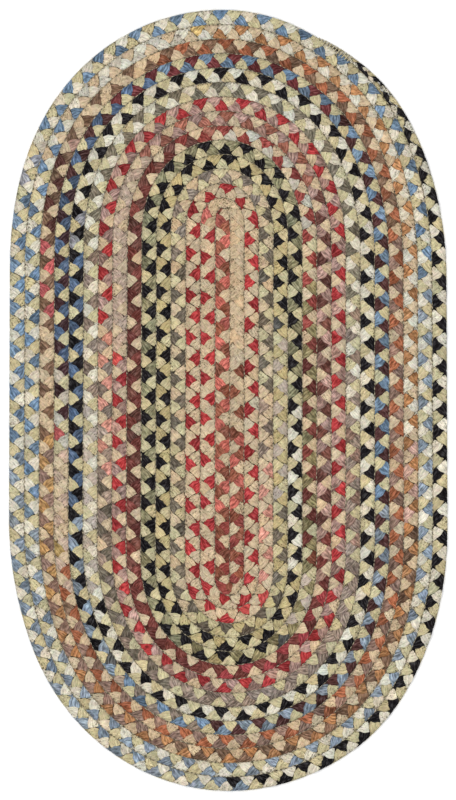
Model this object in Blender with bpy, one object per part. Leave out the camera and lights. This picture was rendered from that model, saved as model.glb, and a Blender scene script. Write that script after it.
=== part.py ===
"""Oval braided rug, 27 by 48 inches.

One long flat braid is folded once at the core and wound outwards, each row laced to the row inside it, so
the rug is a single piece of cloth lying flat. Its rows stand up as ribs, with a groove at every laced seam,
on both faces. The last row is drawn in to a thin tail that closes the oval.

Metres, +Z up. The origin is on the floor under the middle of the rug. +X runs across the rug and +Y along
it. The winding starts at the +Y end of the core, goes down the -X side and comes up the +X side.
"""

import math

import bmesh
import bpy

# The finished rug
RUG_WIDTH = 0.686
RUG_LENGTH = 1.219
THICKNESS = 0.010
ROWS_EACH_SIDE = 15

# How it is wound
CORE_HALF_LENGTH = 0.283  # from the middle of the rug to where an end turn would have no radius
TIGHT_SIDE = 0.984  # the rows on the +X side are laced this much closer
TIGHT_LEAN = 0.02  # and closer still by this much towards the +Y end
TURN_REACH = 1.196  # an end turn reaches this many times as far along the rug as across it

# The tail of the last row, on the turn at the +Y end
TAIL_STEPS = 7
TAIL_EASE = 1.4  # how late the row begins to narrow
TAIL_BLUNTNESS = 0.5  # how late it closes: less is blunter

# A row's cross-section: how far across the row, and how high as a share of the thickness
TOP_SECTION = ((0.0, 0.66), (0.2, 0.90), (0.5, 1.0), (0.8, 0.90), (1.0, 0.66))
UNDER_SECTION = ((0.0, 0.34), (0.26, 0.0), (0.74, 0.0), (1.0, 0.34))
SEAM_TOP = TOP_SECTION[0][1]
SEAM_UNDER = UNDER_SECTION[0][1]

# How finely the shape is cut up
TURN_STEPS = 20
STRAIGHT_STEPS = 3
WELD = 1e-5

# Worked out from the sizes above
ROW_PITCH = RUG_WIDTH / (ROWS_EACH_SIDE * (1 + TIGHT_SIDE))
SEAM_X = ROWS_EACH_SIDE * ROW_PITCH - RUG_WIDTH / 2  # the seam down the middle of the core
TOP_END, BOTTOM_END = 1, -1
LEFT, RIGHT = -1, 1
TURN_CENTRE = {TOP_END: -ROW_PITCH / 2, BOTTOM_END: 0.0}  # across, from the middle seam
LAST_RADIUS = {TOP_END: ROWS_EACH_SIDE - 0.5, BOTTOM_END: ROWS_EACH_SIDE}  # in rows
END_PITCH = {end: (RUG_LENGTH / 2 - CORE_HALF_LENGTH) / rows for end, rows in LAST_RADIUS.items()}

# How full the shoulders of the end turns are: 2 would make them quarters of an ellipse
FULLNESS = {
    (TOP_END, LEFT): 2.20,
    (TOP_END, RIGHT): 2.06,
    (BOTTOM_END, LEFT): 2.13,
    (BOTTOM_END, RIGHT): 2.18,
}


def clear_scene():
    for thing in list(bpy.data.objects):
        bpy.data.objects.remove(thing)


def spot(end, radius, angle):
    """Where a turn's curve of that radius, in rows, is at that angle from the rug's long axis."""
    reach = TURN_REACH * abs(radius) * ROW_PITCH
    centre = CORE_HALF_LENGTH + abs(radius) * END_PITCH[end] - reach
    fullness = FULLNESS[end, RIGHT if radius * angle > 0 else LEFT]
    across = TURN_CENTRE[end] + radius * ROW_PITCH * math.sin(angle)
    along = end * (centre + reach * max(0.0, math.cos(angle)) ** (2 / fullness))
    if across > 0:
        across *= TIGHT_SIDE - TIGHT_LEAN * max(0.0, along) / (RUG_LENGTH / 2)
    return SEAM_X + across, along


def section(end, angle, inner, width=1.0, lift=1.0):
    """The top and the underside points across one row, from its inner seam to its outer one."""
    sides = []
    for profile, seam in ((TOP_SECTION, SEAM_TOP), (UNDER_SECTION, SEAM_UNDER)):
        points = []
        for share, height in profile:
            x, y = spot(end, inner + share * width, angle)
            points.append((x, y, THICKNESS * (seam + (height - seam) * lift)))
        sides.append(points)
    return sides


def between(first, last, share):
    """A section part of the way along a straight run, between the sections at its two ends."""
    return [
        [tuple(a + (b - a) * share for a, b in zip(p, q)) for p, q in zip(side_a, side_b)]
        for side_a, side_b in zip(first, last)
    ]


def turn(end, inner, from_side):
    """The sections round one end turn, from one side of the rug to the other."""
    angles = [from_side * math.radians(90) * (1 - 2 * i / TURN_STEPS) for i in range(TURN_STEPS + 1)]
    return [section(end, angle, inner) for angle in angles]


def tail(inner):
    """The last row, drawn in as it goes round the +Y end until it is gone."""
    sections = []
    for i in range(TAIL_STEPS + 1):
        angle = math.radians(90 - 180 * i / TURN_STEPS)
        width = (1 - (i / TAIL_STEPS) ** TAIL_EASE) ** TAIL_BLUNTNESS
        sections.append(section(TOP_END, angle, inner, width, math.sqrt(width)))
    return sections


def winding():
    """Every section of the braid in order, from the core's +Y end to the tip of the tail."""
    turns = [[section(TOP_END, math.radians(-90), -0.5)]]
    for row in range(1, ROWS_EACH_SIDE + 1):
        turns.append(turn(BOTTOM_END, row - 1, -1))
        turns.append(turn(TOP_END, row - 0.5, 1) if row < ROWS_EACH_SIDE else tail(row - 0.5))
    sections = list(turns[0])
    for run in turns[1:]:
        leave, arrive = sections[-1], run[0]
        sections += [between(leave, arrive, i / STRAIGHT_STEPS) for i in range(1, STRAIGHT_STEPS)]
        sections += run
    return sections


def skin(bm, sections):
    """Faces between each section and the next, on top and underneath."""
    for side in (0, 1):
        rows = [[bm.verts.new(point) for point in section[side]] for section in sections]
        for here, there in zip(rows, rows[1:]):
            for i in range(len(here) - 1):
                bm.faces.new((here[i], here[i + 1], there[i + 1], there[i]))


def core_end(bm):
    """The rounded end where the braid begins, tucked inside the first turn."""
    full = turn(TOP_END, -0.5, 1)
    crown_on = [[point for point in top[len(TOP_SECTION) // 2 :]] for top, _ in full]
    flat_on = [under[len(UNDER_SECTION) // 2 :] for _, under in full]
    skin(bm, list(zip(crown_on, flat_on)))
    bm.faces.new([bm.verts.new(under[0]) for under in flat_on])


def wool_blend():
    """Heathered sand-coloured cloth, the colour that most of the braid has."""
    material = bpy.data.materials.new("Wool blend braid")
    material.use_nodes = True
    shader = material.node_tree.nodes["Principled BSDF"]
    shader.inputs["Base Color"].default_value = (0.50, 0.42, 0.28, 1.0)
    shader.inputs["Roughness"].default_value = 0.95
    shader.inputs["Metallic"].default_value = 0.0
    return material


def braided_rug():
    """The whole rug as one closed solid."""
    bm = bmesh.new()
    skin(bm, winding())
    core_end(bm)
    bmesh.ops.remove_doubles(bm, verts=bm.verts, dist=WELD)
    bmesh.ops.bridge_loops(bm, edges=[edge for edge in bm.edges if edge.is_boundary])
    bmesh.ops.recalc_face_normals(bm, faces=bm.faces)
    mesh = bpy.data.meshes.new("braided_rug")
    bm.to_mesh(mesh)
    bm.free()
    mesh.shade_smooth()
    mesh.set_sharp_from_angle(angle=math.radians(50))
    mesh.materials.append(wool_blend())
    rug = bpy.data.objects.new("braided_rug", mesh)
    bpy.context.scene.collection.objects.link(rug)
    return rug


def main():
    clear_scene()
    braided_rug()


main()
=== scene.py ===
"""Looks of the oval braided rug: three cloth strands plaited into one flat braid, wound and laced.

Laid out as an add-on and run as a script. Metres, +Z up, +Y towards the end where the braid begins. The
braid starts in the middle, goes down the -X side and comes up the +X side, fifteen rows out to its tail.
Its strands, its lacing and its stitches are closed tubes, and together they stand for the solid rug.
"""

import math

import bpy
import numpy as np
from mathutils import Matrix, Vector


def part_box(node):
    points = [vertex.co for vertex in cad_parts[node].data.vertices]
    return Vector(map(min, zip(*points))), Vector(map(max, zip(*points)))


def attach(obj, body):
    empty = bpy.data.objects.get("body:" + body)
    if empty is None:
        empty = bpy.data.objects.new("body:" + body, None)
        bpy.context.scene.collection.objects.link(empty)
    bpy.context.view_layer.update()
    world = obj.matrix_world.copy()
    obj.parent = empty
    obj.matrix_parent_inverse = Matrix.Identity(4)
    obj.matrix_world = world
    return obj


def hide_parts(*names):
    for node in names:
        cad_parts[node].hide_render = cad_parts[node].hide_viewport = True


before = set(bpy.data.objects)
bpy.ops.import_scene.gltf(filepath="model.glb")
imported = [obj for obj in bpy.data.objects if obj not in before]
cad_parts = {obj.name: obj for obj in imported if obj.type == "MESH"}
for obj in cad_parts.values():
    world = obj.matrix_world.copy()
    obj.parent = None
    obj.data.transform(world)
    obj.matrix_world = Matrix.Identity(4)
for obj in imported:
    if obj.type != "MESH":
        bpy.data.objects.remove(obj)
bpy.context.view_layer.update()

bl_info = {
    "name": "Braided Rug",
    "version": (1, 0, 0),
    "blender": (4, 5, 0),
    "location": "3D View > Sidebar > Rug",
    "description": "Plaits, winds and laces an oval braided rug",
    "category": "Object",
}

RUG_NODE = "braided_rug"

# The winding: the solid's own measures, cut finer. START_PUSH and the slimmer tail are this script's own.
RUG_LOW, RUG_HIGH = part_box(RUG_NODE)
RUG_WIDTH = RUG_HIGH[0] - RUG_LOW[0]
RUG_LENGTH = RUG_HIGH[1] - RUG_LOW[1]
THICKNESS = RUG_HIGH[2] - RUG_LOW[2]
ROWS_EACH_SIDE = 15
CORE_HALF_LENGTH = 0.283  # from the middle of the rug to where an end turn would have no radius
TIGHT_SIDE = 0.984  # the rows on the +X side are laced this much closer
TIGHT_LEAN = 0.02  # and closer still by this much towards the +Y end
TURN_REACH = 1.196  # an end turn reaches this many times as far along the rug as across it
TAIL_EASE = 1.4  # how late the row begins to narrow
TAIL_BLUNTNESS = 0.62  # less is blunter and more is slimmer; the solid has 0.5
TURN_STEPS = 80
TAIL_STEPS = 28
TAIL_ANGLE = math.pi * TAIL_STEPS / TURN_STEPS
START_STEPS = 24
START_PUSH = 0.007  # how far the braid's beginning pushes the first turn out
QUARTER = math.pi / 2
TOP_END, BOTTOM_END = 1, -1
LEFT, RIGHT = -1, 1
ROW_PITCH = RUG_WIDTH / (ROWS_EACH_SIDE * (1 + TIGHT_SIDE))
SEAM_X = ROWS_EACH_SIDE * ROW_PITCH - RUG_WIDTH / 2  # the seam down the middle of the core
TURN_CENTRE = {TOP_END: -ROW_PITCH / 2, BOTTOM_END: 0.0}  # across, from the middle seam
LAST_RADIUS = {TOP_END: ROWS_EACH_SIDE - 0.5, BOTTOM_END: ROWS_EACH_SIDE}  # in rows
END_PITCH = {end: (RUG_LENGTH / 2 - CORE_HALF_LENGTH) / rows for end, rows in LAST_RADIUS.items()}

# How full the shoulders of the end turns are: 2 would make them quarters of an ellipse
FULLNESS = {
    (TOP_END, LEFT): 2.20,
    (TOP_END, RIGHT): 2.06,
    (BOTTOM_END, LEFT): 2.13,
    (BOTTOM_END, RIGHT): 2.18,
}

# Where the rows lie a little aside of an even winding: a place, how far round it, the shift
ASIDE = (
    ((0.245, 0.468), 0.085, (0.0042, 0.0024)),
    ((0.215, -0.505), 0.080, (0.0036, -0.0022)),
    ((-0.309, 0.275), 0.120, (0.0036, 0.0)),
    ((-0.309, -0.320), 0.090, (0.0045, 0.0)),
    ((-0.121, -0.156), 0.070, (-0.0028, 0.0)),
    ((0.150, 0.110), 0.130, (0.0025, 0.0)),
    ((0.183, 0.540), 0.045, (0.0012, -0.0032)),
)

# How tightly the braid was plaited, from plaits counted on the photo: metres along it, and plaits made by
# there. A whole number of plaits is where strand 1 shows at the inner seam.
PLAIT_MARKS = (
    (0.03, -0.33), (0.54, 7.67), (0.72, 10.67), (1.26, 19.0), (1.575, 24.0), (2.50, 38.0), (2.56, 39.0),
    (3.55, 54.0), (3.885, 59.0), (4.005, 61.0), (5.26, 80.0), (5.78, 88.0), (7.25, 110.0), (7.50, 114.0),
    (8.365, 127.0), (9.035, 137.0), (10.14, 153.67), (10.95, 165.67), (11.21, 169.67), (11.49, 173.67),
    (12.12, 183.33), (12.665, 191.33), (13.205, 199.33), (13.725, 207.33), (14.00, 211.33), (14.62, 220.67),
    (14.82, 223.67), (14.90, 224.67), (15.94, 240.33), (16.76, 252.33), (17.84, 268.33), (18.92, 284.33),
    (19.67, 295.33), (20.21, 303.33), (21.00, 315.33), (21.93, 329.0), (23.00, 345.0), (24.16, 362.33),
    (24.705, 370.33), (25.255, 378.33), (26.30, 394.0), (27.85, 417.0), (29.46, 441.0), (30.285, 453.33),
    (30.825, 461.33), (31.37, 469.33), (32.04, 479.33), (32.21, 481.83), (32.245, 482.83), (32.275, 483.83),
    (32.30, 484.83),
)

# Where each strand changes colour. Its lobes are counted along it: whole numbers show at the inner seam,
# halves at the outer one.
STRAND_CHARTS = (
    (
        (-1, "tan"), (18.5, "salmon"), (19, "red"), (50, "coral"), (51, "faded_salmon"), (54, "taupe"),
        (55.5, "slate"), (60, "lilac_grey"), (64, "slate"), (77, "pale_lilac"), (81, "dark_slate"),
        (81.5, "black"), (127.5, "dark_slate"), (128, "pale_lilac"), (129.5, "rose_brown"),
        (130, "burgundy"), (135, "brick_red"), (142, "burgundy"), (155.5, "crimson"), (159, "dusty_pink"),
        (161, "mauve"), (173, "pale_mauve"), (178, "mauve"), (210, "taupe"), (225.5, "mauve_brown"),
        (228.5, "ivory"), (279, "slate_blue"), (280, "navy"), (286, "faded_blue"), (290, "blue"),
        (293, "faded_blue"), (300, "blue"), (314, "navy"), (321.5, "pale_grey"), (323.5, "tan"),
        (325.5, "ochre"), (326, "rust"), (354.5, "tan"), (357, "dusty_pink"), (357.5, "dark_brown"),
        (359.5, "raspberry"), (361.5, "tan"), (364, "golden"), (368, "orange_tan"), (395.5, "ochre"),
        (396, "pale_grey"), (399, "blue"), (409, "faded_blue"), (431, "blue"), (445, "pale_grey"),
        (445.5, "ivory"),
    ),
    (
        (-1, "rose_brown"), (14, "tan"), (72, "straw"), (101, "ivory"), (105, "sage"), (125, "olive"),
        (136, "wheat"), (137, "pale_grey"), (140.5, "red_brown"), (141, "maroon"), (152, "burgundy"),
        (160, "maroon"), (168, "red_brown"), (173, "pale_mauve"), (177.5, "coral"), (178, "red"),
        (210, "faded_salmon"), (213.5, "slate"), (219, "taupe"), (231, "olive_grey"), (243, "taupe"),
        (246.5, "pale_lilac"), (251, "black"), (289, "dark_slate"), (289.5, "lilac_grey"), (292, "wine"),
        (309, "dark_red"), (315, "wine"), (317, "aubergine"), (322.5, "raspberry"), (323, "pale_mauve"),
        (326.5, "umber"), (327, "mauve_brown"), (346, "umber"), (364, "mauve_brown"), (372, "umber"),
        (381, "dusty_pink"), (383, "ivory"), (445, "slate_blue"), (446, "blue"), (452, "faded_blue"),
        (463, "black"), (483, "ivory"), (484, "black"), (484.5, "ivory"),
    ),
    (
        (-1, "salmon"), (6, "brick_red"), (10, "salmon"), (12, "tan"), (55, "wheat"), (130, "tan"),
        (215, "wheat"), (323, "tan"), (400, "wheat"), (462, "black"), (462.5, "wheat"),
        (482, "black"), (482.5, "wheat"),
    ),
)

# Printed cloths carry dark flecks, and loosely woven ones show their ribs
FLECKED = {"tan", "wheat", "ivory", "straw", "pale_grey", "pale_lilac", "pale_mauve"}
RIBBED = {
    "slate", "lilac_grey", "taupe", "sage", "olive", "olive_grey", "mauve", "mauve_brown", "rust",
    "orange_tan", "golden", "ochre", "umber", "blue", "faded_blue", "navy", "slate_blue", "rose_brown",
    "red_brown", "dark_slate", "maroon", "pale_mauve",
}
FAINT_RIBS = 0.25  # on the other cloths, as a share

# A strand's path: how it swings from seam to seam, dives under the next and rolls over
SIDES = 12
RINGS_PER_PLAIT = 16
LOBE_LEAD = 0.146  # from a strand's mark to where it next crosses the middle of the row, in plaits
SWING_POWER = 1.4
DIVE_SHARPNESS = 1.2
DIVE_LEAD = -0.2  # radians
ROLL_POWER = 0.35

# Its section: a rounded box that changes towards the seam and the middle, pressed flat by the next row
EDGE_POWER = 8
MIDDLE_POWER = 4
SECTION_POWER = 3.6
BEVEL_POWER = 4
PRESSED_SHARE = 0.501  # of a row's width, from its middle
ROUNDED_SHARE = 0.002  # this much less at its top and bottom
PRESSED_CORNER = math.radians(50)

# Where a row is narrower than a share of its pitch, the braid is less full
NARROW_ROW = 0.9  # it is lower
NARROW_START = 0.4  # its strands are slimmer, in the first half of the braid
NARROW_TAIL = 0.9  # and in the second half
THINNEST = 0.04  # the least fullness

# The lacing in the seams
LACING_START = 0.62
LACING_END = 0.02  # before the end of the braid
LACING_STEP = 0.0025
LACING_LOOP = 0.021  # the length of one stitch
LACING_DRIFT = 0.047  # over how long the stitches vary
LACING_UNEVEN = 1.5  # radians
LACING_SWAY = 0.0003
LACING_HEIGHT = 0.0078
LACING_RISE = 0.0006
LACING_SIDES = 5
LACING_DIRT = 0.7

# The stitches over the tail: from where to where round the turn, in degrees from the long axis, and one
# stitch's course, as its distance in from the rug's edge and its height
STITCHES_BETWEEN = (25.5, 36.5)
STITCH_COUNT = 14
STITCH_LOOK = 0.004  # radians ahead on the edge, which gives its direction
STITCH_SLANT = 0.004  # along the edge
STITCH_SIDES = 6
STITCH_PROFILE = (
    (0.0078, 0.0012), (0.0042, 0.0009), (0.0018, 0.0010), (0.0005, 0.0022), (0.0001, 0.0045),
    (0.0003, 0.0072), (0.0009, 0.0092), (0.0022, 0.0101), (0.0042, 0.0104), (0.0066, 0.0104),
    (0.0090, 0.0101), (0.0106, 0.0092),
)

# The strand's own map: its length is cut into strips that lie side by side
MAP_STRIPS = 28
MAP_STRIP_PITCH = 0.050
STRAND_GIRTH = 0.047
MAP_SIDE = MAP_STRIPS * MAP_STRIP_PITCH
MAP_FILLED = 0.99
MAP_STRIP_LENGTH = MAP_SIDE * MAP_FILLED

# How each lobe differs from its dye: in value, in warmth and in how many flecks it has. Flecked cloths vary
# by the pale spread, and the others by the deep one.
TINT_SEED = 27
PALE_SPREAD = 0.07
DEEP_SPREAD = 0.19
VALUE_LIMITS = (0.68, 1.3)
WARM_CAST = (0.022, -0.008, -0.036)
FEWEST_FLECKS = 0.5

# How strong the nap is, on the flecked cloths and on the others
PALE_NAP = 0.6
DEEP_NAP = 1.3

# How fine the cloth's pattern is: each scale in repeats to the metre, and the detail of the noise
RIB_SCALE = (60.0, 520.0, 1.0)
RIB_DETAIL = 2.0
NAP_SCALE = (130.0, 660.0, 1.0)
NAP_DETAIL = 2.5
PATCH_SCALE = 150.0
PATCH_DETAIL = 3.0
TINT_SCALE = 210.0
FLECK_SCALE = 500.0
RAGGED_SCALE = 900.0
FINE_DETAIL = 2.0

# What the pattern does to the cloth. A band is from low, from high, to low, to high.
RIB_BAND = (0.32, 0.68, -0.30, 0.26)
NAP_BAND = (0.25, 0.75, -0.50, 0.50)
PATCH_BAND = (0.3, 0.7, -0.20, 0.20)
LINT_BAND = (0.5, 0.75, 0.0, 0.03)
TINT_GAIN = 0.24
TINT_BASE = 0.88
RAGGED = 0.004
FLECK_SIZE_BAND = (0.1, 1.0, 0.0, 0.80)
FLECK_LEVEL_BAND = (0.68, 0.98, 1.25, 0.62)  # smaller where the strand is highest
FLECK_TONE = (0.16, 0.15, 0.12, 1.0)
FLECK_STRENGTH = 0.9
# Painted shade: the cloth is darker half-way down, where the strands meet
CREVICE_SHADE_BAND = (0.0, 0.4, 0.88, 1.0)
CLOTH_TONE = 0.965
DARKEST_SHADE = 0.45
CLOTH_BUMP = (0.5, 0.0006)  # strength and depth
CLOTH_ROUGHNESS = 0.92
CLOTH_SHINE = 0.04
CLOTH_SHEEN = 0.03

# The thread: how its ply slants and how fine it is, and where dirt lies
PLY_SLANT = 0.5
PLY_SCALE = 260.0
PLY_WOBBLE = 1.0
PLY_BAND = (0.0, 1.0, 0.75, 1.1)
DIP_SCALE = 44.0
DIP_WOBBLE = 3.0
DIP_DETAIL = 2.0
DIP_FROM, DIP_TO = 0.35, 0.65
CLEANER = 0.25  # how much lighter the thread is elsewhere, as a share of its dirt
THREAD_BUMP = (0.6, 0.0003)
THREAD_ROUGHNESS = 0.85

# The colour sockets of a Mix node, whose names its other sockets share
MIX_FIRST, MIX_SECOND, MIX_RESULT = 6, 7, 2

# The floor and the light
FLOOR_SIZE = 8.0
FLOOR_DROP = 0.0003  # how far below the rug's underside it lies
FLOOR_TONE = (0.93, 0.93, 0.93, 1.0)
FLOOR_ROUGHNESS = 0.9
FLOOR_GLOW = 0.15
LAMP_PLACE = (-0.3, 0.0, 4.0)
LAMP_TILT = math.radians(-4.3)
LAMP_SIZE = 4.0
LAMP_POWER = 181.0
SKY_STRENGTH = 0.36
WHITE = (1.0, 1.0, 1.0, 1.0)

# The view straight down on the rug, as the photo has it
PICTURE_SIZE = (456, 800)
RUG_WIDTH_PIXELS = 439.5
RUG_CENTRE_PIXEL = (227.75, 400.4)
METRES_PER_PIXEL = RUG_WIDTH / RUG_WIDTH_PIXELS
CAMERA_HEIGHT = 3.0


def linear(code):
    """A six-digit colour code, as seen on a screen, as Blender's linear colour."""
    parts = [(code >> shift & 255) / 255 for shift in (16, 8, 0)]
    return tuple(c / 12.92 if c <= 0.04045 else ((c + 0.055) / 1.055) ** 2.4 for c in parts)


def dye(name, text, code):
    """A colour setting."""
    return bpy.props.FloatVectorProperty(
        name=name, description=text, default=linear(code), size=3, min=0.0, max=1.0, subtype="COLOR"
    )


def length(name, text, default):
    """A setting in metres."""
    return bpy.props.FloatProperty(
        name=name, description=text, default=default, min=0.0, precision=4, unit="LENGTH"
    )


class RugSizes(bpy.types.PropertyGroup):
    strand_on_top: length("Strand on top", "Half the width of a strand where it lies flat on top", 0.0107)
    strand_at_edge: length("Strand at the edge", "Half its width where it turns over at a seam", 0.0056)
    strand_in_middle: length("Strand in the middle", "Half its width where it dives under the next", 0.0088)
    loft_on_top: length("Loft on top", "Half the thickness of a strand where it lies flat", 0.0026)
    loft_at_edge: length("Loft at the edge", "Half its thickness where it turns over", 0.0030)
    loft_in_middle: length("Loft in the middle", "Half its thickness where it dives under the next", 0.0038)
    rise: length("Rise", "How far a strand climbs and dives from the middle of the braid", 0.0024)
    edge_gap: length("Edge gap", "How far inside the seam a strand's middle turns", 0.0014)
    lacing: length("Lacing", "Radius of the lacing thread", 0.0009)
    stitch: length("Stitch", "Radius of the stitches at the tail", 0.0007)


class RugDyes(bpy.types.PropertyGroup):
    tan: dye("Tan", "Undyed cloth with a pink cast", 0xBFAA8C)
    wheat: dye("Wheat", "Undyed cloth with a green cast", 0xBBB08B)
    straw: dye("Straw", "Yellow undyed cloth", 0xB0A176)
    ivory: dye("Ivory", "The palest cloth", 0xCDC6B3)
    pale_grey: dye("Pale grey", "Pale cloth between two colours", 0xB8B2A3)
    pale_lilac: dye("Pale lilac", "Pale lilac-grey cloth", 0xA99E92)
    pale_mauve: dye("Pale mauve", "Pale pinkish cloth", 0xB09A88)
    salmon: dye("Salmon", "Salmon cloth of the middle rows", 0xAD5E53)
    coral: dye("Coral", "Bright end of a red strip", 0xC1504C)
    faded_salmon: dye("Faded salmon", "Faded salmon cloth", 0xBC8373)
    red: dye("Red", "Clear red cloth", 0x973233)
    crimson: dye("Crimson", "Crimson cloth", 0x85383A)
    brick_red: dye("Brick red", "Brick red cloth", 0x803D37)
    raspberry: dye("Raspberry", "Raspberry cloth", 0xAA5757)
    dusty_pink: dye("Dusty pink", "Faded pink cloth", 0xB08E80)
    burgundy: dye("Burgundy", "Dark red-brown cloth", 0x673630)
    maroon: dye("Maroon", "Maroon-brown cloth", 0x613D35)
    wine: dye("Wine", "Very dark red cloth", 0x452A28)
    dark_red: dye("Dark red", "Dark red cloth", 0x5D2C2D)
    aubergine: dye("Aubergine", "Dark purple-brown cloth", 0x3A2628)
    rose_brown: dye("Rose brown", "Reddish brown cloth of the first rows", 0x7E4A39)
    red_brown: dye("Red brown", "Faded reddish brown cloth", 0x8D5A4B)
    dark_brown: dye("Dark brown", "Very dark brown cloth", 0x4A2D28)
    umber: dye("Umber", "Olive-brown cloth", 0x6F5644)
    mauve_brown: dye("Mauve brown", "Brown cloth with a mauve cast", 0x82685B)
    rust: dye("Rust", "Rust-orange cloth", 0x8F563C)
    orange_tan: dye("Orange tan", "Faded orange cloth", 0xA0724C)
    golden: dye("Golden", "Golden tan cloth", 0x9F7B50)
    ochre: dye("Ochre", "Dull yellow cloth", 0xAA925F)
    slate: dye("Slate", "Grey-brown cloth", 0x645B4E)
    dark_slate: dye("Dark slate", "Dark grey cloth", 0x4A4845)
    lilac_grey: dye("Lilac grey", "Grey cloth with a lilac cast", 0x827569)
    taupe: dye("Taupe", "Brownish grey cloth", 0x857569)
    mauve: dye("Mauve", "Mauve cloth", 0x997B71)
    sage: dye("Sage", "Grey-green cloth", 0x7F7B5F)
    olive: dye("Olive", "Olive-brown cloth", 0x7F7554)
    olive_grey: dye("Olive grey", "Olive-grey cloth", 0x70695A)
    navy: dye("Navy", "Dark blue cloth", 0x4B5B72)
    blue: dye("Blue", "Blue cloth", 0x65798D)
    faded_blue: dye("Faded blue", "Faded blue cloth", 0x79848F)
    slate_blue: dye("Slate blue", "Grey-blue cloth", 0x83858B)
    black: dye("Black", "Black cloth", 0x181517)
    thread: dye("Thread", "The lacing thread", 0x9F957D)
    stitches: dye("Stitches", "The thread that closes the tail", 0xC9BE9C)


# The winding


def spot(end, radius, angle):
    """Where a turn's curve of that radius, in rows, is at that angle from the rug's long axis."""
    reach = TURN_REACH * abs(radius) * ROW_PITCH
    centre = CORE_HALF_LENGTH + abs(radius) * END_PITCH[end] - reach
    fullness = FULLNESS[end, RIGHT if radius * angle > 0 else LEFT]
    across = TURN_CENTRE[end] + radius * ROW_PITCH * math.sin(angle)
    along = end * (centre + reach * max(0.0, math.cos(angle)) ** (2 / fullness))
    if across > 0:
        across *= TIGHT_SIDE - TIGHT_LEAN * max(0.0, along) / (RUG_LENGTH / 2)
    return SEAM_X + across, along


def turn(end, radius, side):
    """The inner and outer seam points of a row as it goes round an end, from that side to the other."""
    angles = [side * QUARTER * (1 - 2 * step / TURN_STEPS) for step in range(TURN_STEPS + 1)]
    return [(spot(end, radius, a), spot(end, radius + 1, a)) for a in angles]


def tail_edge(angle):
    """The outer edge of the last turn, where the row narrows to nothing, and beyond its end."""
    done = min(1.0, (QUARTER - angle) / TAIL_ANGLE)
    width = (1 - done**TAIL_EASE) ** TAIL_BLUNTNESS
    return spot(TOP_END, ROWS_EACH_SIDE - 0.5 + width, angle)


def tail():
    """The inner and outer seam points of the last turn."""
    angles = [QUARTER - math.pi * step / TURN_STEPS for step in range(TAIL_STEPS + 1)]
    return [(spot(TOP_END, ROWS_EACH_SIDE - 0.5, a), tail_edge(a)) for a in angles]


def aside(points):
    """The same points, in the places where the rows really lie."""
    moved = np.array(points, dtype=float)
    for place, reach, shift in ASIDE:
        away = np.sum((points - np.array(place)) ** 2, axis=-1) / reach**2
        moved += np.exp(-away / 2)[..., None] * np.array(shift)
    return moved


def start():
    """The braid's beginning, which fills the inside of the first turn over it."""
    angles = [QUARTER * step / START_STEPS for step in range(START_STEPS + 1)]
    return [(spot(TOP_END, 0.5, a), spot(TOP_END, 0.5, -a)) for a in angles]


def pushed(steps, first_angle):
    """How far each point of the beginning, or of the turn over it, is pushed towards the +Y end."""
    return START_PUSH * np.cos(np.linspace(first_angle, QUARTER, steps + 1))


class Winding:
    """The braid's course: where the two seams of the row are at each distance along it."""

    def __init__(self):
        seams = start()
        for row in range(1, ROWS_EACH_SIDE + 1):
            seams += turn(BOTTOM_END, row - 1, LEFT)
            seams += tail() if row == ROWS_EACH_SIDE else turn(TOP_END, row - 0.5, RIGHT)
        self.seams = np.array(seams).reshape(-1, 4)
        self.seams[: START_STEPS + 1, 1::2] += pushed(START_STEPS, 0)[:, None]
        middle = (self.seams[:, :2] + self.seams[:, 2:]) / 2
        steps = np.linalg.norm(np.diff(middle, axis=0), axis=1)
        self.along = np.concatenate([[0.0], np.cumsum(steps)])
        self.along -= self.along[START_STEPS]
        self.length = self.along[-1]

        # The first turn gives way to the start that pushes it up
        over = START_STEPS + 1 + TURN_STEPS + 1
        self.seams[over : over + TURN_STEPS + 1, 1] += pushed(TURN_STEPS, -QUARTER)
        self.seams[:, :2] = aside(self.seams[:, :2])
        self.seams[:, 2:] = aside(self.seams[:, 2:])
        self.widths = np.linalg.norm(self.seams[:, 2:] - self.seams[:, :2], axis=1)
        self.area = float(np.sum((self.widths[1:] + self.widths[:-1]) / 2 * steps))
        self.count_plaits()

    def count_plaits(self):
        """Carries the marks on to both ends of the braid, at the rate of the plaits next to them."""
        places, plaits = np.array(PLAIT_MARKS).T
        first_rate = (plaits[1] - plaits[0]) / (places[1] - places[0])
        last_rate = (plaits[-1] - plaits[-3]) / (places[-1] - places[-3])
        first = plaits[0] + (self.along[0] - places[0]) * first_rate
        last = plaits[-1] + (self.length - places[-1]) * last_rate
        self.mark_places = np.concatenate([[self.along[0]], places, [self.length]])
        self.mark_plaits = np.concatenate([[first], plaits, [last]])

    def place(self, plaits):
        """How far along the braid that many plaits reach."""
        return np.interp(plaits, self.mark_plaits, self.mark_places)

    def fullness(self, along, narrow=NARROW_ROW):
        """How full the braid is, from 0 to 1: less only where its row is narrow, at its two ends."""
        width = np.interp(along, self.along, self.widths) / (ROW_PITCH * narrow)
        return np.clip(width, THINNEST, 1)

    def points(self, along, across, height):
        """World points: across is measured from the middle of the row, as a share of its width."""
        x0, y0, x1, y1 = (np.interp(along, self.along, self.seams[:, k]) for k in range(4))
        share = across + 0.5
        lift = np.sqrt(self.fullness(along))
        return np.stack([x0 + (x1 - x0) * share, y0 + (y1 - y0) * share, height * lift], axis=-1)


# Meshes


def rounded(values, power):
    """Each value to that power, with its sign kept."""
    return np.sign(values) * np.abs(values) ** power


def unit(vectors):
    """The vectors at length 1."""
    return vectors / np.linalg.norm(vectors, axis=-1, keepdims=True)


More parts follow.
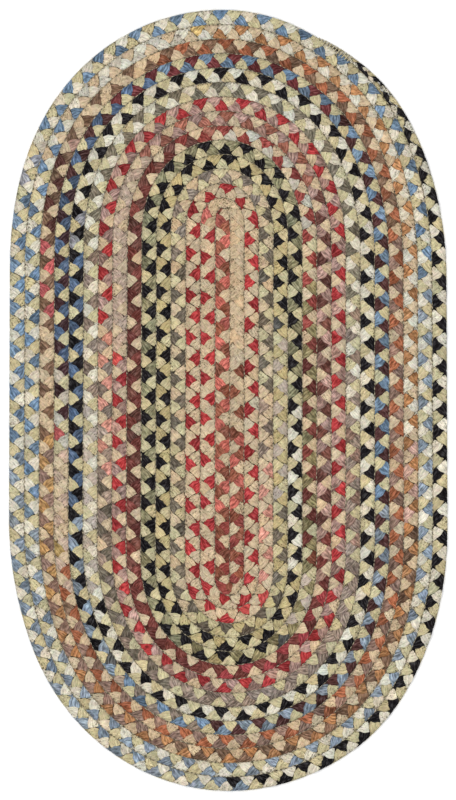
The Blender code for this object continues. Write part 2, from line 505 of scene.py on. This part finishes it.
def tube_faces(rings, sides):
    """Quads of a tube, facing out, with an end face at each end."""
    ring, side = np.meshgrid(np.arange(rings - 1), np.arange(sides), indexing="ij")
    after = (side + 1) % sides
    quads = np.stack(
        [ring * sides + side, (ring + 1) * sides + side, (ring + 1) * sides + after, ring * sides + after],
        axis=-1,
    )
    ends = [list(range(sides)), [(rings - 1) * sides + k for k in reversed(range(sides))]]
    return quads.reshape(-1, 4), ends


def tube_map(lengths, sides, girth, first_strip):
    """The tube's own map, in shares of its side: strips along the length, side by side."""
    ring, side = np.meshgrid(np.arange(len(lengths) - 1), np.arange(sides), indexing="ij")
    strip = np.floor(lengths[:-1] / MAP_STRIP_LENGTH)[ring]
    start, end = lengths[ring] - strip * MAP_STRIP_LENGTH, lengths[ring + 1] - strip * MAP_STRIP_LENGTH
    strip += first_strip
    low = strip * MAP_STRIP_PITCH + (MAP_STRIP_PITCH - girth) / 2 + side * girth / sides
    high = low + girth / sides
    corners = [(start, low), (end, low), (end, high), (start, high)]
    return np.stack([np.stack(c, axis=-1) for c in corners], axis=2).reshape(-1, 4, 2) / MAP_SIDE


def cloth_object(name, tubes, girth, material):
    """Closed tubes from their rings of points, with their map, smooth, riding on the rug."""
    points, faces, corners = [], [], []
    for number, rings in enumerate(tubes):
        count, sides = rings.shape[:2]
        quads, ends = tube_faces(count, sides)
        before = sum(len(ring) for ring in points)
        points.append(rings.reshape(-1, 3))
        faces += (quads + before).tolist()
        faces += [[corner + before for corner in end] for end in ends]
        middles = rings.mean(axis=1)
        lengths = np.concatenate([[0.0], np.cumsum(np.linalg.norm(np.diff(middles, axis=0), axis=1))])
        mapped = tube_map(lengths, sides, girth, number).reshape(-1, 2)
        corners += [mapped, np.repeat(mapped[:1], 2 * sides, axis=0)]
    mesh = bpy.data.meshes.new(name)
    mesh.from_pydata(np.concatenate(points), [], faces)
    layer = mesh.uv_layers.new(name="Cloth")
    layer.data.foreach_set("uv", np.concatenate(corners).ravel())
    mesh.shade_smooth()
    mesh.set_sharp_from_angle(angle=PRESSED_CORNER)
    mesh.materials.append(material)
    piece = bpy.data.objects.new(name, mesh)
    bpy.context.scene.collection.objects.link(piece)
    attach(piece, "root")
    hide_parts(RUG_NODE)
    return piece


def strand_path(sizes, phase, along):
    """The strand's middle line in a straight braid: across, along, and up or down from its mid height."""
    swing = (ROW_PITCH / 2 - sizes.edge_gap) * rounded(np.sin(phase), SWING_POWER)
    dive = np.tanh(DIVE_SHARPNESS * np.sin(2 * phase - DIVE_LEAD)) / math.tanh(DIVE_SHARPNESS)
    return np.stack([swing, along, -sizes.rise * dive], axis=-1)


def strand_face(phase, forward):
    """Which way the strand's flat face looks: up, over the seam as it rolls, and down."""
    roll = rounded(np.cos(phase), ROLL_POWER)
    outward = np.floor(phase / math.pi) % 2 == 0
    tilt = np.where(outward, QUARTER * (1 + roll), 3 * QUARTER + QUARTER * roll)
    up = np.stack([np.sin(tilt), np.zeros_like(tilt), np.cos(tilt)], axis=-1)
    return unit(up - forward * np.sum(up * forward, axis=-1, keepdims=True))


def strand_halves(sizes, phase):
    """Half the strand's width and half its thickness."""
    at_edge = np.abs(np.sin(phase)) ** EDGE_POWER
    in_middle = np.abs(np.cos(phase)) ** MIDDLE_POWER
    on_top = 1 - at_edge - in_middle
    half_width = sizes.strand_on_top * on_top
    half_width += sizes.strand_at_edge * at_edge + sizes.strand_in_middle * in_middle
    half_loft = sizes.loft_on_top * on_top
    half_loft += sizes.loft_at_edge * at_edge + sizes.loft_in_middle * in_middle
    return half_width, half_loft


def strand_rings(sizes, winding, lag):
    """The rings of one strand, and how far along its own count of lobes each one is."""
    first, last = winding.mark_plaits[0] - lag, winding.mark_plaits[-1] - lag
    lobes = np.linspace(first, last, int((last - first) * RINGS_PER_PLAIT) + 1)
    phase = 2 * math.pi * (lobes - LOBE_LEAD)
    along = winding.place(lobes + lag)
    path = strand_path(sizes, phase, along)
    forward = unit(np.gradient(path, axis=0))
    up = strand_face(phase, forward)
    sideways = np.cross(forward, up)

    half_width, half_loft = strand_halves(sizes, phase)
    narrow = np.where(along < winding.length / 2, NARROW_START, NARROW_TAIL)
    half_width *= winding.fullness(along, narrow)
    around = np.linspace(0, 2 * math.pi, SIDES, endpoint=False)
    wide = rounded(np.cos(around), 2 / SECTION_POWER)
    thick = rounded(np.sin(around), 2 / SECTION_POWER)
    local = (
        path[:, None]
        + sideways[:, None] * (half_width[:, None] * wide)[..., None]
        + up[:, None] * (half_loft[:, None] * thick)[..., None]
    )
    height = np.clip(THICKNESS / 2 + local[..., 2], 0.0, THICKNESS)

    # Neighbouring rows press each other flat, and only their top and bottom edges stay round
    from_middle = np.abs(2 * height / THICKNESS - 1)
    limit = PRESSED_SHARE - ROUNDED_SHARE * from_middle**BEVEL_POWER
    across = np.clip(local[..., 0] / ROW_PITCH, -limit, limit)
    return winding.points(local[..., 1], across, height), lobes


def paint_lobes(piece, dyes, chart, lobes, draws):
    """Gives each face its lobe's dye, a little lighter, darker, warmer or greener than the last."""
    starts = np.array([start for start, name in chart])
    colours = np.array([tuple(getattr(dyes, name)) for start, name in chart])
    flecks = np.array([1.0 if name in FLECKED else 0.0 for start, name in chart])
    ribs = np.array([1.0 if name in RIBBED else FAINT_RIBS for start, name in chart])
    naps = np.array([PALE_NAP if name in FLECKED else DEEP_NAP for start, name in chart])
    middle = (lobes[1:] + lobes[:-1]) / 2
    number = np.floor(2 * middle + 0.5).astype(int)
    run = np.searchsorted(starts, number / 2, side="right") - 1
    run = np.clip(run, 0, len(chart) - 1)
    index = number - number.min()
    count = index.max() + 1
    spread = np.where(flecks[run] > 0, PALE_SPREAD, DEEP_SPREAD)
    value = 1 + spread * draws.standard_normal(count)[index]
    warmth = draws.standard_normal(count)[index]
    cast = 1 + np.array(WARM_CAST) * warmth[:, None]
    tint = np.clip(value, *VALUE_LIMITS)[:, None] * cast
    amount = (FEWEST_FLECKS + (1 - FEWEST_FLECKS) * draws.random(count))[index]
    face_dye = np.clip(colours[run] * tint, 0, 1)
    face_cloth = np.stack([flecks[run] * amount, ribs[run], naps[run]], axis=-1)
    for name, values in (("dye", face_dye), ("cloth", face_cloth)):
        faces = np.repeat(values, SIDES, axis=0)
        faces = np.concatenate([faces, values[:1], values[-1:]])
        attribute = piece.data.attributes.new(name, "FLOAT_VECTOR", "FACE")
        attribute.data.foreach_set("vector", faces.ravel())


def round_tube(points, radius, sides):
    """Rings round a path of points."""
    forward = unit(np.gradient(points, axis=0))
    right = unit(np.cross(forward, (0.0, 0.0, 1.0)))
    up = np.cross(right, forward)
    around = np.linspace(0, 2 * math.pi, sides, endpoint=False)
    ring = right[:, None] * np.cos(around)[:, None] + up[:, None] * np.sin(around)[:, None]
    return points[:, None] + radius * ring


# Materials


class Nodes:
    """Adds and links the nodes of one material."""

    def __init__(self, name):
        self.material = bpy.data.materials.new(name)
        self.material.use_nodes = True
        self.tree = self.material.node_tree
        self.shader = self.tree.nodes["Principled BSDF"]

    def add(self, kind, inputs=None, **settings):
        """A new node with its settings, its inputs linked or set."""
        node = self.tree.nodes.new("ShaderNode" + kind)
        for name, value in settings.items():
            setattr(node, name, value)
        for name, value in (inputs or {}).items():
            self.feed(node.inputs[name], value)
        return node

    def feed(self, socket, value):
        if isinstance(value, bpy.types.NodeSocket):
            self.tree.links.new(value, socket)
        else:
            socket.default_value = value

    def math(self, operation, first, second=0.0):
        return self.add("Math", {0: first, 1: second}, operation=operation).outputs[0]

    def band(self, value, low, high, to_low, to_high):
        """The value, moved from one range to another and held inside it."""
        inputs = {"Value": value, "From Min": low, "From Max": high, "To Min": to_low, "To Max": to_high}
        return self.add("MapRange", inputs).outputs["Result"]

    def multiplied(self, factor, first, second):
        """The first colour darkened by the second, by that factor."""
        node = self.add("Mix", {"Factor": factor}, data_type="RGBA", blend_type="MULTIPLY")
        self.feed(node.inputs[MIX_FIRST], first)
        self.feed(node.inputs[MIX_SECOND], second)
        return node.outputs[MIX_RESULT]

    def scaled(self, vector, factor):
        """The vector times a number."""
        return self.add("VectorMath", {0: vector, "Scale": factor}, operation="SCALE").outputs[0]

    def map_metres(self):
        """The piece's own map, in metres."""
        uv = self.add("UVMap", uv_map="Cloth").outputs["UV"]
        return self.add("VectorMath", {0: uv, 1: (MAP_SIDE,) * 3}, operation="MULTIPLY").outputs[0]

    def clouds(self, vector, scale, detail):
        """The outputs of even noise."""
        return self.add("TexNoise", {"Vector": vector, "Scale": scale, "Detail": detail}).outputs

    def streaks(self, vector, scale, detail):
        """Noise drawn out along the strip."""
        stretched = self.add("Mapping", {"Vector": vector, "Scale": scale}).outputs[0]
        inputs = {"Vector": stretched, "Scale": 1.0, "Detail": detail}
        return self.add("TexNoise", inputs, noise_dimensions="2D").outputs["Fac"]

    def bump(self, height, strength, depth):
        """Relief on the shader, depth in metres."""
        node = self.add("Bump", {"Height": height, "Strength": strength, "Distance": depth})
        self.feed(self.shader.inputs["Normal"], node.outputs["Normal"])

    def finish(self, **values):
        """Plain values on the shader's own sockets, by their names with _ for each space."""
        for name, value in values.items():
            self.shader.inputs[name.replace("_", " ")].default_value = value
        return self.material


def braid_cloth():
    """Soft brushed cloth strips: ribs along the strip, uneven dye, dark flecks, and painted shade in the
    grooves between strands.
    """
    nodes = Nodes("braid_cloth")
    colour = nodes.add("Attribute", attribute_name="dye").outputs["Vector"]
    cloth = nodes.add("Attribute", attribute_name="cloth").outputs["Vector"]
    flecked, ribbed, napped = nodes.add("SeparateXYZ", {0: cloth}).outputs
    metres = nodes.map_metres()
    place = nodes.add("TexCoord").outputs["Object"]
    height = nodes.add("SeparateXYZ", {0: place}).outputs["Z"]
    level = nodes.math("ABSOLUTE", nodes.band(height, 0.0, THICKNESS, -1.0, 1.0))

    # Ribs, folds and plies that run along the strip, and the nap that breaks them up
    ribs = nodes.streaks(metres, RIB_SCALE, RIB_DETAIL)
    rib_shade = nodes.math("MULTIPLY", nodes.band(ribs, *RIB_BAND), ribbed)
    nap = nodes.streaks(metres, NAP_SCALE, NAP_DETAIL)
    patches = nodes.clouds(place, PATCH_SCALE, PATCH_DETAIL)
    cloudy = nodes.band(patches["Fac"], *PATCH_BAND)
    nap_shade = nodes.math("MULTIPLY", nodes.math("ADD", nodes.band(nap, *NAP_BAND), cloudy), napped)

    # Uneven dye: patches that are a little warmer or greener
    tints = nodes.clouds(place, TINT_SCALE, FINE_DETAIL)["Color"]
    levels = {0: tints, 1: (TINT_GAIN,) * 3, 2: (TINT_BASE,) * 3}
    uneven = nodes.add("VectorMath", levels, operation="MULTIPLY_ADD").outputs[0]

    # Flecks: dark specks of the printed cloth
    ragged = nodes.scaled(nodes.clouds(place, RAGGED_SCALE, FINE_DETAIL)["Color"], RAGGED)
    torn = nodes.add("VectorMath", {0: place, 1: ragged}, operation="ADD").outputs[0]
    speck = nodes.add("TexVoronoi", {"Vector": torn, "Scale": FLECK_SCALE, "Randomness": 1.0})
    chance = nodes.add("SeparateXYZ", {0: speck.outputs["Color"]}).outputs["X"]
    size = nodes.math("MULTIPLY", nodes.band(chance, *FLECK_SIZE_BAND), flecked)
    size = nodes.math("MULTIPLY", size, nodes.band(level, *FLECK_LEVEL_BAND))
    fleck = nodes.math("LESS_THAN", speck.outputs["Distance"], size)

    # The strip's tone from its ribs and nap, which has a least value, times painted shade that darkens it
    # half-way down, where the strands meet
    shade = nodes.math("ADD", nodes.math("ADD", rib_shade, nap_shade), CLOTH_TONE)
    shade = nodes.math("MAXIMUM", shade, DARKEST_SHADE)
    shade = nodes.math("MULTIPLY", shade, nodes.band(level, *CREVICE_SHADE_BAND))
    dyed = nodes.add("VectorMath", {0: colour, 1: uneven}, operation="MULTIPLY").outputs[0]
    lint = nodes.math("MULTIPLY", nodes.band(nap, *LINT_BAND), napped)
    # The dyed cloth times its tone and its painted shade, with light lint added on the napped cloths
    shaded_and_dusty = nodes.add("VectorMath", {0: nodes.scaled(dyed, shade), 1: lint}, operation="ADD").outputs[0]
    strength = nodes.math("MULTIPLY", fleck, FLECK_STRENGTH)
    nodes.feed(nodes.shader.inputs["Base Color"], nodes.multiplied(strength, shaded_and_dusty, FLECK_TONE))
    relief = nodes.math("ADD", nodes.math("MULTIPLY", ribs, ribbed), nap)
    nodes.bump(relief, *CLOTH_BUMP)
    return nodes.finish(Roughness=CLOTH_ROUGHNESS, Specular_IOR_Level=CLOTH_SHINE, Sheen_Weight=CLOTH_SHEEN)


def plain_thread(name, colour, soiled=0.0):
    """Twisted thread: its ply shows as slanting bands. Where soiled isn't 0, dirt darkens it in places."""
    nodes = Nodes(name)
    uv = nodes.add("UVMap", uv_map="Cloth").outputs["UV"]
    slant = {"Vector": uv, "Rotation": (0, 0, PLY_SLANT), "Scale": (MAP_SIDE,) * 3}
    turned = nodes.add("Mapping", slant).outputs[0]
    ply = nodes.add("TexWave", {"Vector": turned, "Scale": PLY_SCALE, "Distortion": PLY_WOBBLE})
    ply = ply.outputs["Fac"]
    wander = {"Scale": DIP_SCALE, "Distortion": DIP_WOBBLE, "Detail Scale": DIP_DETAIL}
    dips = nodes.add("TexWave", {"Vector": nodes.map_metres(), **wander}).outputs["Fac"]
    dirt = nodes.band(dips, DIP_FROM, DIP_TO, 1.0 - soiled, 1.0 + CLEANER * soiled)
    tone = nodes.math("MULTIPLY", nodes.band(ply, *PLY_BAND), dirt)
    nodes.feed(nodes.shader.inputs["Base Color"], nodes.scaled(tuple(colour), tone))
    nodes.bump(ply, *THREAD_BUMP)
    return nodes.finish(Roughness=THREAD_ROUGHNESS)


# Operators


class RUG_OT_plait_strands(bpy.types.Operator):
    """Plait the three strands of the braid along the whole winding"""

    bl_idname = "rug.plait_strands"
    bl_label = "Plait the strands"

    def execute(self, context):
        sizes, dyes = context.scene.rug_sizes, context.scene.rug_dyes
        winding = Winding()
        material = braid_cloth()
        draws = np.random.default_rng(TINT_SEED)
        for number, chart in enumerate(STRAND_CHARTS):
            rings, lobes = strand_rings(sizes, winding, number / len(STRAND_CHARTS))
            piece = cloth_object(f"braid_strand_{number + 1}", [rings], STRAND_GIRTH, material)
            paint_lobes(piece, dyes, chart, lobes, draws)
        return {"FINISHED"}


class RUG_OT_lace_rows(bpy.types.Operator):
    """Lace each row to the row inside it, with one thread along the seam"""

    bl_idname = "rug.lace_rows"
    bl_label = "Lace the rows"

    def execute(self, context):
        sizes, dyes = context.scene.rug_sizes, context.scene.rug_dyes
        winding = Winding()
        along = np.arange(LACING_START, winding.length - LACING_END, LACING_STEP)
        drift = np.sin(2 * math.pi * along / LACING_DRIFT)
        across = -0.5 + LACING_SWAY / ROW_PITCH * drift
        loops = 2 * math.pi * along / LACING_LOOP + LACING_UNEVEN * drift
        height = LACING_HEIGHT + LACING_RISE * np.cos(loops)
        rings = round_tube(winding.points(along, across, height), sizes.lacing, LACING_SIDES)
        girth = 2 * math.pi * sizes.lacing
        material = plain_thread("lacing_thread", dyes.thread, LACING_DIRT)
        cloth_object("lacing_thread", [rings], girth, material)
        return {"FINISHED"}


class RUG_OT_stitch_tail(bpy.types.Operator):
    """Whip the end of the braid down with small stitches over the rug's edge"""

    bl_idname = "rug.stitch_tail"
    bl_label = "Stitch the tail"

    def execute(self, context):
        sizes, dyes = context.scene.rug_sizes, context.scene.rug_dyes
        tubes = []
        for angle in np.radians(np.linspace(*STITCHES_BETWEEN, STITCH_COUNT)):
            edge, ahead = aside(np.array([tail_edge(angle), tail_edge(angle + STITCH_LOOK)]))
            forward = unit(ahead - edge)
            inward = np.array([forward[1], -forward[0]])
            profile = np.array(STITCH_PROFILE)
            slant = STITCH_SLANT * np.linspace(1, 0, len(profile))
            flat = edge + inward * profile[:, :1] + forward * slant[:, None]
            points = np.column_stack([flat, profile[:, 1]])
            tubes.append(round_tube(points, sizes.stitch, STITCH_SIDES))
        girth = 2 * math.pi * sizes.stitch
        cloth_object("tail_stitches", tubes, girth, plain_thread("tail_stitches", dyes.stitches))
        return {"FINISHED"}


class RUG_OT_set_stage(bpy.types.Operator):
    """Lay the pale floor and place the soft light and the camera over the rug"""

    bl_idname = "rug.set_stage"
    bl_label = "Set the stage"

    def execute(self, context):
        bpy.ops.object.select_all(action="DESELECT")
        bpy.ops.mesh.primitive_plane_add(size=FLOOR_SIZE, location=(0, 0, -FLOOR_DROP))
        floor = context.object
        floor.name = "floor"
        nodes = Nodes("pale_floor")
        nodes.finish(Base_Color=FLOOR_TONE, Roughness=FLOOR_ROUGHNESS)
        nodes.finish(Emission_Color=WHITE, Emission_Strength=FLOOR_GLOW)
        floor.data.materials.append(nodes.material)
        bpy.ops.object.light_add(type="AREA", location=LAMP_PLACE)
        lamp = context.object
        lamp.name = "soft_light"
        lamp.data.shape = "SQUARE"
        lamp.data.size = LAMP_SIZE
        lamp.data.energy = LAMP_POWER
        lamp.rotation_euler = (0, LAMP_TILT, 0)
        world = bpy.data.worlds.new("studio")
        world.use_nodes = True
        sky = world.node_tree.nodes["Background"]
        sky.inputs["Color"].default_value = WHITE
        sky.inputs["Strength"].default_value = SKY_STRENGTH
        context.scene.world = world
        context.scene.view_settings.view_transform = "Standard"
        across = (PICTURE_SIZE[0] / 2 - RUG_CENTRE_PIXEL[0]) * METRES_PER_PIXEL
        along = (RUG_CENTRE_PIXEL[1] - PICTURE_SIZE[1] / 2) * METRES_PER_PIXEL
        bpy.ops.object.camera_add(location=(across, along, CAMERA_HEIGHT), rotation=(0, 0, 0))
        camera = context.object
        camera.data.type = "ORTHO"
        camera.data.ortho_scale = PICTURE_SIZE[1] * METRES_PER_PIXEL
        context.scene.camera = camera
        return {"FINISHED"}


class RUG_PT_sidebar(bpy.types.Panel):
    """The rug's operators, sizes and dyes"""

    bl_idname = "RUG_PT_sidebar"
    bl_label = "Braided rug"
    bl_space_type = "VIEW_3D"
    bl_region_type = "UI"
    bl_category = "Rug"

    def draw(self, context):
        for operator in OPERATORS:
            self.layout.operator(operator.bl_idname)
        for group in (context.scene.rug_sizes, context.scene.rug_dyes):
            column = self.layout.column()
            for name in group.__annotations__:
                column.prop(group, name)


OPERATORS = (RUG_OT_plait_strands, RUG_OT_lace_rows, RUG_OT_stitch_tail, RUG_OT_set_stage)
CLASSES = (RugSizes, RugDyes, *OPERATORS, RUG_PT_sidebar)


def register():
    for item in CLASSES:
        bpy.utils.register_class(item)
    bpy.types.Scene.rug_sizes = bpy.props.PointerProperty(type=RugSizes)
    bpy.types.Scene.rug_dyes = bpy.props.PointerProperty(type=RugDyes)


def unregister():
    del bpy.types.Scene.rug_dyes
    del bpy.types.Scene.rug_sizes
    for item in reversed(CLASSES):
        bpy.utils.unregister_class(item)


def declare_cloth():
    """Works out the area the winding covers; the result is not used."""
    Winding().area


def main():
    register()
    bpy.ops.rug.plait_strands()
    bpy.ops.rug.lace_rows()
    bpy.ops.rug.stitch_tail()
    bpy.ops.rug.set_stage()
    declare_cloth()


if __name__ == "__main__":
    main()
